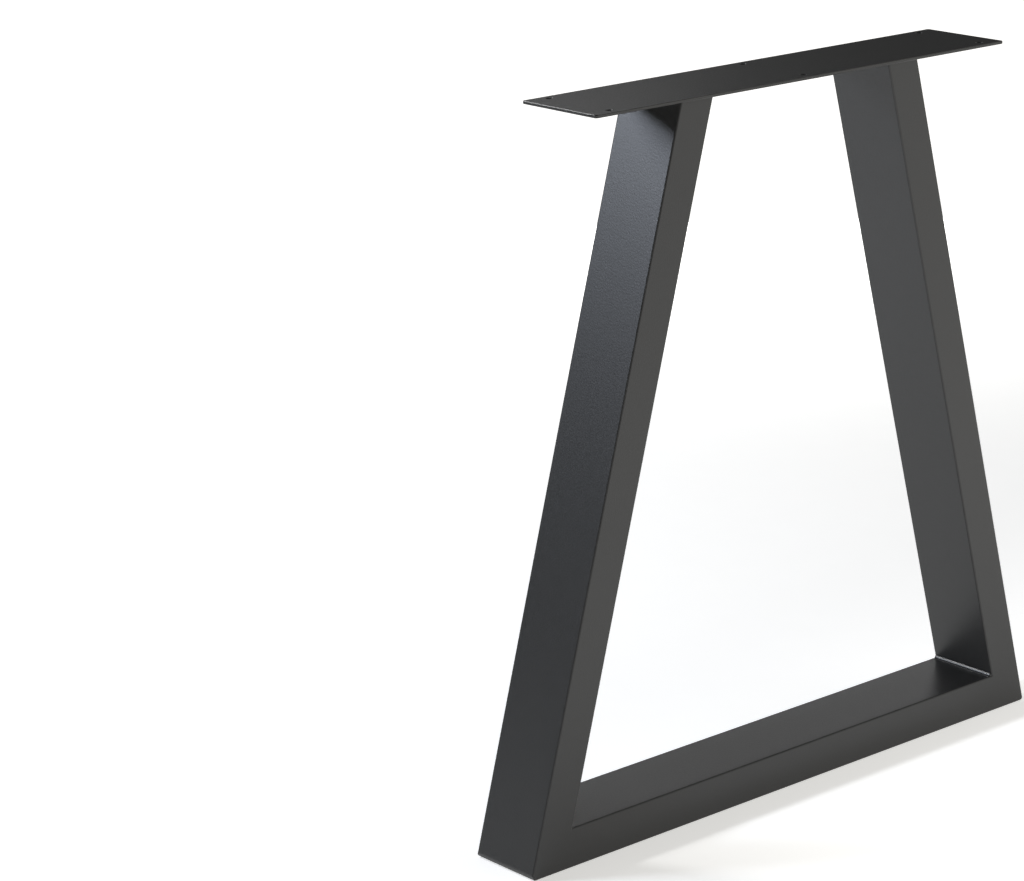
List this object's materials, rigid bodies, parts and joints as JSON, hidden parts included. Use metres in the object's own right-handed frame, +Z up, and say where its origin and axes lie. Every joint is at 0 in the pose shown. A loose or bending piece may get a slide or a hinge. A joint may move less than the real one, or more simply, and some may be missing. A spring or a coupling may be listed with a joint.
{
  "type": "table leg",
  "caption": "Trapezoid table leg: a welded frame of rectangular steel tube under a flat drilled mounting plate, powder coated in charcoal.",
  "frame": {"origin": "on the floor, under the middle of the leg", "axes": "+X along the bottom rail, +Y through the depth of the tube, +Z up to the mounting plate"},
  "size_m": [0.7, 0.1, 0.72],
  "materials": {
    "powder_coat": "fine-texture charcoal powder coat, semi-matt"
  },
  "bodies": {
    "root": {"top_plate": "powder_coat", "left_upright": "powder_coat", "right_upright": "powder_coat", "bottom_rail": "powder_coat", "left_corner_weld": "powder_coat", "right_corner_weld": "powder_coat", "left_plate_welds": "powder_coat", "right_plate_welds": "powder_coat"}
  },
  "joints": []
}
